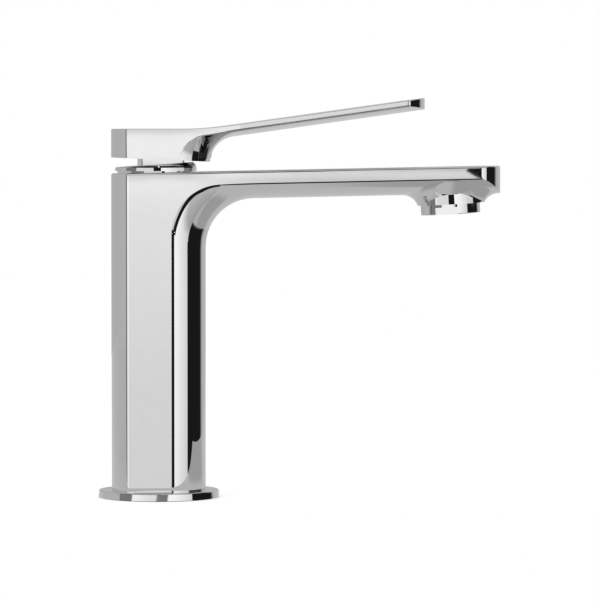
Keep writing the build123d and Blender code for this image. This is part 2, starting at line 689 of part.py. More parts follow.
def make_handle():
    socket = STEM_SIDE / 2 + RUN_GAP + ADAPTER_WALL + RUN_GAP
    socket_top = STEM_TOP + SEAT_GAP + ADAPTER_TOP_T + SEAT_GAP
    hollow = disc(COLLAR_REACH + POCKET_GAP, 0, POCKET_ROOF)
    hollow += block(-socket, socket, -socket, socket, POCKET_ROOF - CUT_OVER, socket_top)
    hollow += along_screw(SCREW_R + THREAD_GAP, 0, PLUG_OUT_X)
    hollow += along_screw(PLUG_R, PLUG_OUT_X - PLUG_L, PLUG_OUT_X + BODY_W)
    return handle_shell() - LEVER * hollow


def make_retaining_nut():
    hex_low = NUT_BOTTOM + NUT_LOW_H
    solid = disc(BORE_R - THREAD_GAP, NUT_BOTTOM, hex_low)
    hexagon = RegularPolygon(NUT_HEX_AF / 2, 6, major_radius=False)
    solid += Pos(0, 0, hex_low) * extrude(hexagon, amount=NUT_HEX_H)
    return AXIS * (solid - disc(NUT_BORE_R, NUT_BOTTOM, NUT_TOP))


def make_stop_ring():
    solid = ring(STOP_RING_R, ROTOR_NECK_R + SWING_GAP, NUT_TOP, NUT_TOP + STOP_RING_T)
    half_gap = MIX_ANGLE + STOP_LUG_ANGLE + STOP_SLACK_ANGLE
    gap = sector(STOP_LUG_R + SWING_GAP, half_gap, NUT_TOP, NUT_TOP + STOP_RING_T)
    return AXIS * (solid - gap)


def make_cap_ring():
    solid = disc(CAP_RING_R, CAP_RING_SEAT_Z, CAP_BOTTOM, CAP_X)
    return solid - AXIS * disc(CAP_SKIRT_R + SEAT_GAP, CAP_RING_SEAT_Z, CAP_BOTTOM)


def make_cap():
    front, rear = CAP_X + CAP_R, CAP_X - CAP_R
    slope = (CAP_FRONT_H - CAP_REAR_H) / (front - rear)
    high = CAP_BOTTOM + CAP_FRONT_H + CAP_R * slope
    puck = extrude(Circle(CAP_R), amount=CAP_WALL_H + CAP_ROUND_R, taper=CAP_DRAFT)
    puck = fillet(puck.faces().sort_by(Axis.Z)[-1].edges(), CAP_ROUND_R)
    puck = Pos(CAP_X, 0, CAP_BOTTOM) * puck
    rear_x = rear - CAP_R
    front_x = front + CAP_R
    top = [(rear_x, CAP_BOTTOM + CAP_REAR_H - CAP_R * slope), (front_x, high), (front_x, high + CAP_R),
           (rear_x, high + CAP_R)]
    puck -= side_slab(top)
    puck = fillet(puck.faces().sort_by(Axis.Z)[-1].edges(), CAP_EDGE_R)
    collar = extrude(RectangleRounded(COLLAR_W, COLLAR_W, COLLAR_CORNER_R), amount=COLLAR_TOP_Z - CAP_BOTTOM)
    skirt = disc(CAP_SKIRT_R, CAP_SKIRT_LOW, CAP_BOTTOM) + Pos(0, 0, CAP_BOTTOM) * collar
    groove_z = CAP_BOTTOM - CAP_SKIRT_L / 2
    groove_r = BORE_R - 2 * SEAL_GAP - 2 * CAP_CORD_R
    half = CAP_CORD_R + SEAL_GAP
    hollow = disc(CAP_SKIRT_R - CAP_SKIRT_WALL, CAP_SKIRT_LOW, CAP_ROOF_Z)
    hollow += disc(COLLAR_BORE_R, CAP_SKIRT_LOW, COLLAR_TOP_Z)
    hollow += ring(BORE_R, groove_r, groove_z - half, groove_z + half)
    return puck + AXIS * skirt - AXIS * hollow


def make_cap_o_ring():
    height = CAP_BOTTOM - CAP_SKIRT_L / 2
    return AXIS * cord_ring(BORE_R - SEAL_GAP - CAP_CORD_R, CAP_CORD_R, height)


def make_aerator_housing():
    solid = disc(AERATOR_RING_R, -AERATOR_RING_H, 0)
    rim = solid.edges().filter_by(GeomType.CIRCLE).sort_by(Axis.Z)[0]
    solid = fillet(rim, AERATOR_EDGE_R)
    solid += disc(AERATOR_THREAD_R - THREAD_GAP, 0, AERATOR_TOP)
    solid -= disc(AERATOR_BORE_R, AERATOR_LIP_TOP, AERATOR_TOP)
    solid -= disc(AERATOR_LIP_R, -AERATOR_RING_H, AERATOR_LIP_TOP)
    flat_top = WRENCH_FLAT_H - AERATOR_RING_H
    for side in (-1, 1):
        near, far = sorted((side * WRENCH_FLAT_Y, side * BODY_W))
        solid -= block(-AERATOR_RING_R, AERATOR_RING_R, near, far, -AERATOR_RING_H, flat_top)
    return OUTLET * Rot(0, 0, AERATOR_TURN) * solid


def make_aerator_gasket():
    return OUTLET * ring(AERATOR_THREAD_R - SEAT_GAP, OUTLET_HOLE_R, AERATOR_TOP, AERATOR_THREAD_L)


def hole_grid(pitch, reach):
    """Square grid of places inside a circle."""
    count = int(reach / pitch)
    steps = [pitch * step for step in range(-count, count + 1)]
    places = [(x, y) for x in steps for y in steps]
    return [spot for spot in places if hypot(*spot) <= reach]


def pierced(radius, low, high, hole, places):
    """Disc with the same hole at each place."""
    face = Circle(radius) - [Pos(x, y) * hole for x, y in places]
    return Pos(0, 0, low) * extrude(face, amount=high - low)


def make_outlet_grid():
    places = hole_grid(GRID_PITCH, AERATOR_LIP_R - GRID_HOLE)
    hole = Rectangle(GRID_HOLE, GRID_HOLE)
    return OUTLET * pierced(AERATOR_BORE_R - RUN_GAP, AERATOR_LIP_TOP, GRID_TOP, hole, places)


def make_jet_body():
    outer = AERATOR_BORE_R - RUN_GAP
    jets = [polar(JET_RING_R, 360 * step / JET_COUNT) for step in range(JET_COUNT)]
    wall = ring(outer, outer - JET_WALL, GRID_TOP, SCREEN_BOTTOM)
    plate = pierced(outer, JET_PLATE_LOW, JET_PLATE_LOW + JET_PLATE_T, Circle(JET_R), jets)
    return OUTLET * (wall + plate)


def make_flow_limiter():
    low = JET_PLATE_LOW + JET_PLATE_T
    return OUTLET * ring(LIMITER_R, LIMITER_HOLE_R, low, low + LIMITER_T)


def make_aerator_screen():
    places = hole_grid(SCREEN_PITCH, AERATOR_LIP_R - SCREEN_PITCH)
    hole = Circle(SCREEN_HOLE_R)
    return OUTLET * pierced(AERATOR_BORE_R - RUN_GAP, SCREEN_BOTTOM, AERATOR_TOP, hole, places)


PIECES = {
    "body_casting": make_body_casting,
    "base_flange": make_base_flange,
    "deck_gasket": make_deck_gasket,
    "inlet_seals": make_inlet_seals,
    "cartridge_base": make_cartridge_base,
    "disc_seals": make_disc_seals,
    "fixed_disc": make_fixed_disc,
    "moving_disc": make_moving_disc,
    "disc_carrier": make_disc_carrier,
    "cartridge_housing": make_cartridge_housing,
    "cartridge_o_ring": make_cartridge_o_ring,
    "rotor": make_rotor,
    "pivot_pin": make_pivot_pin,
    "stem": make_stem,
    "retaining_nut": make_retaining_nut,
    "stop_ring": make_stop_ring,
    "cap_ring": make_cap_ring,
    "cap": make_cap,
    "cap_o_ring": make_cap_o_ring,
    "stem_adapter": make_stem_adapter,
    "handle": make_handle,
    "handle_screw": make_handle_screw,
    "screw_plug": make_screw_plug,
    "aerator_housing": make_aerator_housing,
    "aerator_gasket": make_aerator_gasket,
    "aerator_screen": make_aerator_screen,
    "flow_limiter": make_flow_limiter,
    "jet_body": make_jet_body,
    "outlet_grid": make_outlet_grid,
}

os.makedirs("parts", exist_ok=True)
for node, make in PIECES.items():
    made = make()
    if isinstance(made, list):
        made = Compound(children=made)
    export_step(made, f"parts/{node}.step")
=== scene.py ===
import json
from math import cos, radians, sin, sqrt, tan

import bpy
import numpy as np
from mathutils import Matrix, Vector


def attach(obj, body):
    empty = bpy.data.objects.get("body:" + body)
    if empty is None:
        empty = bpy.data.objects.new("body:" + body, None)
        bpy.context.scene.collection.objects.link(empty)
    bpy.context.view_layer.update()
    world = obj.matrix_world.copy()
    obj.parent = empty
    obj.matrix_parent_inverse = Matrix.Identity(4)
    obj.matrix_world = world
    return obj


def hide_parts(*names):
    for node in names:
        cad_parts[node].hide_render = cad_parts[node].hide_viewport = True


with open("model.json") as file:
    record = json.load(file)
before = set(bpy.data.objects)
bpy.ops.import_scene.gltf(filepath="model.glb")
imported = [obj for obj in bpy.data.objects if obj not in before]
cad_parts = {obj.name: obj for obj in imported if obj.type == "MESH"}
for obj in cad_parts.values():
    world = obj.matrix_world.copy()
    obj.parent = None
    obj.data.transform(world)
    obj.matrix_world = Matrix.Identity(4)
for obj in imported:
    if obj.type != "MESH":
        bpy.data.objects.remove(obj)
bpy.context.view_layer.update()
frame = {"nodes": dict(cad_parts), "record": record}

# Camera, in metres and degrees, with the lens and its sensor in millimetres
CAMERA_AZIMUTH = -5.28
CAMERA_DISTANCE = 1.757
CAMERA_HEIGHT = 0.146
CAMERA_CLIP_END = 50
SENSOR_WIDTH = 36.0
LENS = 252.4
AIM_X = 0.05938
AIM_Z = 0.08192

# Studio round the faucet, in metres
TENT_R = 2.5
TENT_LOW = -1.2
TENT_HIGH = 2.4
GROUND_MIN_R = 0.05
GROUND_RINGS = 12
FLOOR_LEFT = -1.2
FLOOR_RIGHT = 0.36
FLOOR_FRONT = -0.08
FLOOR_REAR = 1.2
FLOOR_FINE_LEFT = 0.06
FLOOR_FINE_REAR = 0.25
FLOOR_STEP = 0.004
FLOOR_GAP = 0.01
FLOOR_LEFT_COLUMNS = 40
FLOOR_REAR_ROWS = 30
FLOOR_WHITE = 0.8
FLOOR_ROUGHNESS = 0.9
FLOOR_LIFT = 0.45
WORLD_LIGHT = 0.8
LAMP_PLACE = (-0.9, -1.0, 1.9)
LAMP_AIM = (0.05, 0, 0.08)
LAMP_SIZE = 1.2
LAMP_ENERGY = 4.0

# Runs of start, end and step for the wall's columns, in degrees, and for its fine rows, in metres
TURN_RUNS = ((-180, -30, 0.5), (-30, 3, 0.25), (3, 11, 0.1), (11, 14, 0.03), (14, 30, 0.15), (30, 180, 0.5))
HEIGHT_RUNS = ((-0.45, -0.1, 0.009), (-0.1, 0.1, 0.004), (0.1, 0.13, 0.001), (0.13, 0.3, 0.004),
               (0.3, 0.5, 0.01))
FINE_LOW = -0.46
FINE_HIGH = 0.5
LOW_ROWS = 15
HIGH_ROWS = 20

# Pattern in the metal: turns in degrees from the front towards the spout's tip, heights in metres, brightness
BLACK = 0.014
DIM = 0.32
CEILING = 0.7
ROOM = ((-180, -165, -112, -100, 106, 140, 180), (0.5, 0.56, 0.68, 0.68, 0.6, 0.66, 0.5))

# Narrow black gap between the two softboxes
GAP_LEFT = ((-0.40, -0.25, 0.10, 0.1135, 0.1227, 0.127, 0.15, 0.20, 0.23),
            (-28, 12.8, 12.8, 12.68, 12.26, 12.38, 12.9, 12.95, -12))
GAP_RIGHT = ((-1.2, -0.6, -0.25, 0.2, 0.23), (26, 22, 21, 21, 9))
GAP_SHADE = ((0.20, 0.23, 0.26, 0.28), (BLACK, DIM, DIM, BLACK))
GAP_SHARP = 0.06
GAP_SOFT = 0.4

# Black flag right of the right softbox
FLAG_LEFT = ((0.20, 0.23), (61, 81))
FLAG_RIGHT = ((0.20, 0.23), (118, 125))
FLAG_BOTTOM = -0.68
FLAG_FOOT_SHADE = 0.65
FLAG_SOFT = 0.8
FLAG_FADE = 14.0
FLAG_FOOT_SOFT = 0.04

# Grey flag left of the left softbox
BACK_LEFT = ((0.12, 0.20), (-85, -98))
BACK_RIGHT = ((0.12, 0.20), (-40, -62))
BACK_BOTTOM = -0.4
BACK_SHADE = 0.28
BACK_SOFT = 3.0
BACK_FOOT_SOFT = 0.1

# Left softbox, with bars of low and high edge, softness and depth on either side of a seam
LEFT_BOX = ((-0.5, -0.3, -0.1, 0.03, 0.08, 0.107, 0.14, 0.2, 0.23),
            (0.65, 1, 1.04, 1.15, 1.2, 1.3, 1.36, 1.36, 1.1))
LEFT_SOFT = 1.0
SEAM_TURN = 6.3
SEAM_SOFT = 1.2
LEFT_BARS = ((0.115, 0.13, 0.012, 0.35), (0.160, 0.17, 0.008, 0.35))
RIGHT_BARS = ((0.1235, 0.135, 0.006, 0.3), (0.105, 0.1155, 0.007, 0.15))
FALL_TURN = 7.5
FALL_SOFT = 3.0
FALL_DEPTH = 0.25
GLEAM_TURN = 3.55
GLEAM_SOFT = 0.3
GLEAM_TOP = 0.12
GLEAM_TOP_SOFT = 0.02
GLEAM_RISE = 0.25

# Right softbox: its brightness by turn, and its share by height
RIGHT_BOX = ((22, 30, 61, 80), (1.46, 1.38, 1.02, 0.95))
RIGHT_FADE = ((-0.5, -0.25, 0), (0.5, 0.92, 1))
RIGHT_SOFT = 0.6

# Dark upper wall, with one narrow bright strip
UPPER_BOTTOM = 0.55
UPPER_BOTTOM_SOFT = 0.06
UPPER_LEFT = -80
UPPER_RIGHT = 115
UPPER_SOFT = 10.0
UPPER_SHADE = 0.04
STRIP_BOTTOM = 0.9
STRIP_BOTTOM_SOFT = 0.02
STRIP_LEFT = 1.0
STRIP_RIGHT = 5.8
STRIP_SOFT = 0.8
STRIP_GLOW = 1.2

# Table in the metal, darker before the black flag: a painted shadow of the flag, which itself casts none;
# also darker towards the left
TABLE = ((-0.2, 0), (0.64, 0.7))
TABLE_SHADE = 0.5
TABLE_SHADE_X = 0.1
TABLE_SHADE_SOFT = 0.06
TABLE_SHADE_LEFT = 61
TABLE_SHADE_RIGHT = 118
TABLE_TURN_SOFT = 8.0

# Sizes of the chrome forms, in millimetres and degrees, as in the solids
HALF_W = 17.0
BULGE_HALF_W = 16.96
BACK_CORNER_X = -14.9
BACK_SAG = 4.8
BACK_CORNER_R = 1.6
TOP_EDGE_R = 0.9
SIDE_EDGE_R = 1.2
COLUMN_EDGE_X = 3.7
COLUMN_BULGE = 15.9
TOP_Z = 135.6
SPOUT_RISE = 1.1
SPOUT_SIDE_H = 5.6
SPOUT_BULGE = 6.0
SPOUT_TIP_X = 144.0
SPOUT_TIP_SAG = 8.8
TIP_CORNER_R = 6.0
EDGE_FILLET_R = 20.6
UNDER_FILLET_R = 20.4
OUTLET_X = 123.0
OUTLET_RIM_Z = 122.3
OUTLET_TILT = 3.3
BOSS_R = 13.4
BOSS_LIP = 0.25
BOSS_FLARE_R = 7.0
SKIRT_LIFT = 4.3
SKIRT_H = 5.4
SKIRT_OUT = 3.4
HANDLE_TOP_Z = 153.7
HANDLE_EDGE_X = 6.9
HANDLE_BULGE = 14.6
HANDLE_EDGE_R = 12.0
HANDLE_UNDER_R = 11.0
LEVER_BREAK_X = 19.0
LEVER_RISE = 8.0
LEVER_BLEND_R = 160.0
LEVER_SIDE_H = 2.6
LEVER_BULGE = 2.25
LEVER_TIP_X = 111.9
LEVER_TIP_SAG = 8.4
LEVER_TIP_W = 31.5
LEVER_TIP_CORNER_R = 2.0
LEVER_SIDE_EDGE_R = 0.7
CAP_X = -1.1
CAP_R = HALF_W
CAP_RING_H = 0.6
CAP_BOTTOM = TOP_Z + CAP_RING_H
CAP_WALL_H = 1.1
CAP_ROUND_R = 2.9
CAP_REAR_H = 1.55
CAP_FRONT_H = 3.9
CAP_DRAFT = 2.0
BOW_START = -8.0

# Limits for finding a facet's surface, in mm, with turn in degrees, sweep in radians and area in m2
FIT_OFF = 0.25
FIT_TURN = 14.0
NO_FIT = 1e3
TINY = 1e-9
MIN_SQUARE = 1e-6
EDGE_SLACK = 0.05
WALL_SLACK = 0.2
SWEEP_SLACK = 0.01
SWEEP_STEPS = 400
FLARE_STEPS = 1440
SMALL_AREA = 2e-6
MM_PER_M = 1000


# Normals of the true surfaces, so that the chrome mirrors without facets

def lean(rise):
    """Unit vectors along a rising line and square to it, up and back."""
    angle = radians(rise)
    return np.array([cos(angle), 0, sin(angle)]), np.array([-sin(angle), 0, cos(angle)])


def bow_radius(half, sag):
    return (half ** 2 + sag ** 2) / (2 * sag)


def flat(point, normal):
    """Plane: how far spots lie off it, and its normal at each."""
    point, normal = np.array(point, float), np.array(normal, float)
    normal = normal / np.linalg.norm(normal)
    return lambda spots: ((spots - point) @ normal, np.tile(normal, (len(spots), 1)))


def tube(point, axis, radius, side=1):
    """Cylinder, seen from outside or, with side -1, from inside."""
    point, axis = np.array(point, float), np.array(axis, float)

    def surface(spots):
        off = spots - point
        off = off - np.outer(off @ axis, axis)
        far = np.maximum(np.linalg.norm(off, axis=1), TINY)
        return far - radius, side * off / far[:, None]
    return surface


def outlet_cone(lift, radius, slope):
    """Cone on the outlet's axis that widens upwards by a slope, with its radius at one height."""
    axis = lean(OUTLET_TILT)[1]
    share = 1 / sqrt(1 + slope ** 2)

    def surface(spots):
        off = spots - np.array([OUTLET_X, 0, OUTLET_RIM_Z])
        height = off @ axis
        off = off - np.outer(height, axis)
        far = np.maximum(np.linalg.norm(off, axis=1), TINY)
        normal = share * (off / far[:, None] - slope * axis)
        return share * (far - radius - slope * (height - lift)), normal
    return surface


def ray_reach(origin, angle, wall_x, line, rise, radius):
    """Distance from a point, up and back, to the rounded corner of a wall and a rising line."""
    slope = tan(radians(rise))
    run, climb = -cos(angle), sin(angle)
    centre_x = wall_x + radius
    centre_z = line(centre_x) - radius / cos(radians(rise))
    to_wall = (wall_x - origin[0]) / run
    if origin[1] + to_wall * climb <= centre_z:
        return to_wall
    to_line = (line(origin[0]) - origin[1]) / (climb - slope * run)
    if origin[0] + to_line * run >= centre_x - radius * sin(radians(rise)):
        return to_line
    off_x, off_z = origin[0] - centre_x, origin[1] - centre_z
    half = off_x * run + off_z * climb
    return -half + sqrt(half ** 2 - off_x ** 2 - off_z ** 2 + radius ** 2)


def arm(point, along, square, narrow, sag, side_r):
    """Bow under an arm that narrows along its length, and the rounds beside the bow."""
    def place(spots):
        off = spots - point
        half = BULGE_HALF_W - narrow * (off @ along)
        radius = bow_radius(half, sag)
        return half, radius, off @ square - radius + sag

    def bow(spots):
        radius, up = place(spots)[1:]
        normal = np.outer(up, square)
        normal[:, 1] += spots[:, 1]
        size = np.linalg.norm(normal, axis=1)
        return size - radius, normal / size[:, None]

    def side(spots):
        half, radius, up = place(spots)
        up = up + np.sqrt((radius - side_r) ** 2 - (half - side_r) ** 2)
        over = spots[:, 1] - np.sign(spots[:, 1]) * (half - side_r)
        normal = np.outer(up, square) + np.outer(narrow * np.abs(over), along)
        normal[:, 1] += over
        return np.hypot(up, over) - side_r, normal / np.linalg.norm(normal, axis=1)[:, None]
    return [bow, side]


def bowed_corner(wall_x, line, rise, edge_r, bulge, drop, under_r, side_r, start, narrow):
    """Bowed front that sweeps from an upright wall to a rising arm, with rounds beside the bow.

    Returns the surfaces, and the axis point and radius of the bow along the arm's underside.
    """
    centre_x = wall_x + bulge + under_r
    centre_z = line(centre_x) - drop - under_r / cos(radians(rise))
    centre = np.array([centre_x, 0, centre_z])
    angles = np.linspace(radians(start), radians(90 - rise), SWEEP_STEPS)
    fars = [ray_reach((centre_x, centre_z), angle, wall_x, line, rise, edge_r) for angle in angles]
    fars = np.array(fars)
    slopes = np.gradient(fars, angles)
    radii = bow_radius(BULGE_HALF_W, fars - under_r)
    side_y = BULGE_HALF_W - side_r
    side_fars = under_r + radii - np.sqrt((radii - side_r) ** 2 - side_y ** 2)
    side_slopes = np.gradient(side_fars, angles)

    def sweep(spots):
        off = spots - centre
        off[:, 1] = 0
        reach = np.linalg.norm(off, axis=1)
        outward = off / reach[:, None]
        around = np.stack([outward[:, 2], outward[:, 1], -outward[:, 0]], 1)
        angle = np.arctan2(outward[:, 2], -outward[:, 0])
        missed = (angle < angles[0] - SWEEP_SLACK) | (angle > angles[-1] + SWEEP_SLACK)
        return reach, outward, around, angle, missed

    def front(spots):
        reach, outward, around, angle, missed = sweep(spots)
        far = np.interp(angle, angles, fars)
        sag = far - under_r
        radius = bow_radius(BULGE_HALF_W, sag)
        root = np.sqrt(np.maximum(radius ** 2 - spots[:, 1] ** 2, MIN_SQUARE))
        grow = (1 - (BULGE_HALF_W / sag) ** 2) / 2
        turn = np.interp(angle, angles, slopes) * (grow - radius / root * grow) / reach
        normal = turn[:, None] * around - outward
        normal[:, 1] += spots[:, 1] / root
        off = np.where(missed, NO_FIT, reach - (far - root + radius - sag))
        return off, normal / np.linalg.norm(normal, axis=1)[:, None]

    def side(spots):
        reach, outward, around, angle, missed = sweep(spots)
        depth = reach - np.interp(angle, angles, side_fars)
        turn = np.interp(angle, angles, side_slopes) * depth / reach
        normal = depth[:, None] * outward - turn[:, None] * around
        normal[:, 1] += spots[:, 1] - side_y * np.sign(spots[:, 1])
        off = np.hypot(depth, normal[:, 1]) - side_r
        return np.where(missed, NO_FIT, off), normal / np.linalg.norm(normal, axis=1)[:, None]

    along, square = lean(rise)
    axis_point = centre + square * (under_r + radii[-1])
    first = np.array([cos(angles[0]), 0, -sin(angles[0])])
    down = np.array([sin(angles[0]), 0, cos(angles[0])])
    start_point = centre - side_fars[0] * first

    def foot(y):
        straight_round = tube(start_point + np.array([0, y, 0]), down, side_r)

        def surface(spots):
            off, normal = straight_round(spots)
            angle = sweep(spots)[3]
            return np.where(angle > angles[0] + SWEEP_SLACK, NO_FIT, off), normal
        return surface

    feet = [foot(-side_y), foot(side_y)]
    straight = arm(centre + fars[-1] * square, along, square, narrow, fars[-1] - under_r, side_r)
    return [front, side] + feet + straight, axis_point, radii[-1]


def flare(axis_point, along, radius):
    """Hollow round between the outlet boss and the bowed underside that it leaves."""
    out, up = lean(OUTLET_TILT)
    turns = np.linspace(0, 2 * np.pi, FLARE_STEPS, endpoint=False)
    ball_r = BOSS_R + BOSS_FLARE_R
    base = np.array([OUTLET_X, 0, OUTLET_RIM_Z]) + ball_r * np.outer(np.cos(turns), out)
    base[:, 1] += ball_r * np.sin(turns)
    gap = base - axis_point
    gap = gap - np.outer(gap @ along, along)
    rise = up - (up @ along) * along
    a, b = rise @ rise, gap @ rise
    c = (gap ** 2).sum(1) - (radius + BOSS_FLARE_R) ** 2
    balls = base + np.outer((-b - np.sqrt(b ** 2 - a * c)) / a, up)

    def surface(spots):
        off = np.full(len(spots), NO_FIT)
        normal = np.zeros((len(spots), 3))
        normal[:, 2] = 1
        near = np.hypot(spots[:, 0] - OUTLET_X, spots[:, 1]) < ball_r + BOSS_FLARE_R / 2
        near = np.flatnonzero(near & (spots[:, 2] > OUTLET_RIM_Z - BOSS_FLARE_R))
        for k in near:
            toward = balls - spots[k]
            length = np.linalg.norm(toward, axis=1)
            best = length.argmin()
            off[k] = length[best] - BOSS_FLARE_R
            normal[k] = toward[best] / length[best]
        return off, normal
    return surface


def outline_walls(tip_x, tip_sag, tip_half_w, tip_corner_r):
    """Upright walls of the outline: bowed back, flat sides, bowed tip and the rounds between."""
    back_r = bow_radius(HALF_W, BACK_SAG)
    back_x = BACK_CORNER_X - BACK_SAG + back_r
    tip_r = bow_radius(tip_half_w, tip_sag)
    up = (0, 0, 1)
    walls = [tube((back_x, 0, 0), up, back_r), tube((tip_x - tip_r, 0, 0), up, tip_r)]
    rear_x = back_x - sqrt((back_r - BACK_CORNER_R) ** 2 - (HALF_W - BACK_CORNER_R) ** 2)
    front_x = tip_x - tip_r + sqrt((tip_r - tip_corner_r) ** 2 - (tip_half_w - tip_corner_r) ** 2)
    for side in (-1, 1):
        walls.append(flat((0, side * HALF_W, 0), (0, side, 0)))
        walls.append(tube((rear_x, side * (HALF_W - BACK_CORNER_R), 0), up, BACK_CORNER_R))
        walls.append(tube((front_x, side * (tip_half_w - tip_corner_r), 0), up, tip_corner_r))
    return walls


def body_surfaces():
    """Column, elbow, spout and outlet boss of the casting."""
    along, square = lean(SPOUT_RISE)

    def edge(x):
        return TOP_Z + x * tan(radians(SPOUT_RISE)) - SPOUT_SIDE_H

    elbow, axis_point, radius = bowed_corner(COLUMN_EDGE_X, edge, SPOUT_RISE, EDGE_FILLET_R, COLUMN_BULGE,
                                             SPOUT_BULGE, UNDER_FILLET_R, SIDE_EDGE_R, 0, 0)
    column_r = bow_radius(BULGE_HALF_W, COLUMN_BULGE)
    bow = tube((COLUMN_EDGE_X + COLUMN_BULGE - column_r, 0, 0), (0, 0, 1), column_r)

    def column(spots):
        off, normal = bow(spots)
        return np.where(spots[:, 0] < COLUMN_EDGE_X - EDGE_SLACK, NO_FIT, off), normal

    rim = np.array([0, 0, TOP_Z]) - TOP_EDGE_R * square
    reach = HALF_W - TOP_EDGE_R
    rims = [tube(rim + np.array([0, side, 0]), along, TOP_EDGE_R) for side in (-reach, reach)]
    boss = [outlet_cone(0, BOSS_R + BOSS_LIP, -BOSS_LIP / SKIRT_LIFT),
            outlet_cone(SKIRT_LIFT, BOSS_R, SKIRT_OUT / SKIRT_H), flare(axis_point, along, radius)]
    walls = outline_walls(SPOUT_TIP_X, SPOUT_TIP_SAG, HALF_W, TIP_CORNER_R)
    return walls + [flat((0, 0, TOP_Z), square), column] + elbow + rims + boss


def handle_surfaces():
    """Block and lever of the handle."""
    square = lean(LEVER_RISE)[1]

    def edge(x):
        return HANDLE_TOP_Z + (x - LEVER_BREAK_X) * tan(radians(LEVER_RISE)) - LEVER_SIDE_H

    shoulder_x = HANDLE_EDGE_X + HANDLE_BULGE + HANDLE_UNDER_R
    narrow = (HALF_W - LEVER_TIP_W / 2) / (LEVER_TIP_X - LEVER_TIP_SAG - shoulder_x)
    front = bowed_corner(HANDLE_EDGE_X, edge, LEVER_RISE, HANDLE_EDGE_R, HANDLE_BULGE, LEVER_BULGE,
                         HANDLE_UNDER_R, LEVER_SIDE_EDGE_R, BOW_START, narrow * cos(radians(LEVER_RISE)))[0]
    blend_x = LEVER_BREAK_X - LEVER_BLEND_R * tan(radians(LEVER_RISE / 2))
    blend = tube((blend_x, 0, HANDLE_TOP_Z + LEVER_BLEND_R), (0, 1, 0), LEVER_BLEND_R, -1)
    walls = outline_walls(LEVER_TIP_X, LEVER_TIP_SAG, LEVER_TIP_W / 2, LEVER_TIP_CORNER_R)
    tops = [flat((0, 0, HANDLE_TOP_Z), (0, 0, 1)), flat((LEVER_BREAK_X, 0, HANDLE_TOP_Z), square), blend]
    for side in (-1, 1):
        walls.append(flat((shoulder_x, side * HALF_W, 0), (narrow, side, 0)))
    return walls + tops + front


def cap_surfaces():
    """Tapered wall, top round and slanted top of the cap."""
    slant = (CAP_FRONT_H - CAP_REAR_H) / (2 * CAP_R)
    top_z = CAP_BOTTOM + (CAP_FRONT_H + CAP_REAR_H) / 2
    top = flat((CAP_X, 0, top_z), (-slant, 0, 1))
    lean_out, lean_up = cos(radians(CAP_DRAFT)), sin(radians(CAP_DRAFT))
    ring_r = CAP_R - (CAP_ROUND_R + CAP_WALL_H * lean_up) / lean_out

    def wall(spots):
        off = spots - np.array([CAP_X, 0, CAP_BOTTOM])
        far = np.hypot(off[:, 0], off[:, 1])
        normal = lean_out * off / far[:, None]
        normal[:, 2] = lean_up
        depth = lean_out * (far - CAP_R) + lean_up * off[:, 2]
        return np.where(off[:, 2] > CAP_WALL_H + WALL_SLACK, NO_FIT, depth), normal

    def round_edge(spots):
        off = spots - np.array([CAP_X, 0, CAP_BOTTOM + CAP_WALL_H])
        far = np.hypot(off[:, 0], off[:, 1])
        off[:, :2] *= (1 - ring_r / far)[:, None]
        size = np.maximum(np.linalg.norm(off, axis=1), TINY)
        return size - CAP_ROUND_R, off / size[:, None]
    return [top, wall, round_edge]


def polished(node, body, surfaces):
    """Copy of a solid whose normals come from the surfaces that it was made from."""
    mesh = frame["nodes"][node].data.copy()
    mesh.name = f"{node}_polished"
    count, corners = len(mesh.polygons), len(mesh.loops)
    spots, normals = np.empty(len(mesh.vertices) * 3), np.empty(corners * 3)
    facing, area, index = np.empty(count * 3), np.empty(count), np.empty(corners, int)
    mesh.vertices.foreach_get("co", spots)
    mesh.corner_normals.foreach_get("vector", normals)
    mesh.polygons.foreach_get("normal", facing)
    mesh.polygons.foreach_get("area", area)
    mesh.loops.foreach_get("vertex_index", index)
    spots = MM_PER_M * spots.reshape(-1, 3)[index].reshape(count, 3, 3)
    normals, facing = normals.reshape(count, 3, 3), facing.reshape(count, 3)
    middle = spots.mean(1)
    nearest, choice = np.full(count, FIT_OFF), np.full(count, -1)
    for k, surface in enumerate(surfaces):
        off = np.abs(surface(spots.reshape(-1, 3))[0]).reshape(count, 3).max(1)
        alike = (surface(middle)[1] * facing).sum(1) > cos(radians(FIT_TURN))
        fits = (off < nearest) & alike
        nearest[fits], choice[fits] = off[fits], k
    for k, surface in enumerate(surfaces):
        found = np.flatnonzero(choice == k)
        if len(found):
            normals[found] = surface(spots[found].reshape(-1, 3))[1].reshape(-1, 3, 3)
    plain = (choice < 0) & (area > SMALL_AREA)
    normals[plain] = facing[plain][:, None, :]
    mesh.normals_split_custom_set([tuple(n) for n in normals.reshape(-1, 3)])
    piece = bpy.data.objects.new(f"{node}_polished", mesh)
    bpy.context.scene.collection.objects.link(piece)
    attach(piece, body)
    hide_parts(node)


# Materials

NOISE_LOW = 0.3
NOISE_HIGH = 0.7
SLOW_GRAIN = 7


def new_material(name):
    material = bpy.data.materials.new(name)
    material.use_nodes = True
    return material, material.node_tree.nodes, material.node_tree.links


def grain(nodes, links, scale, stretch=(1, 1, 1), detail=3.0):
    """Noise fixed to the piece, stretched along chosen axes."""
    where = nodes.new("ShaderNodeTexCoord")
    mapping = nodes.new("ShaderNodeMapping")
    mapping.inputs["Scale"].default_value = stretch
    noise = nodes.new("ShaderNodeTexNoise")
    noise.inputs["Scale"].default_value = scale
    noise.inputs["Detail"].default_value = detail
    links.new(where.outputs["Object"], mapping.inputs["Vector"])
    links.new(mapping.outputs["Vector"], noise.inputs["Vector"])
    return noise.outputs["Fac"]


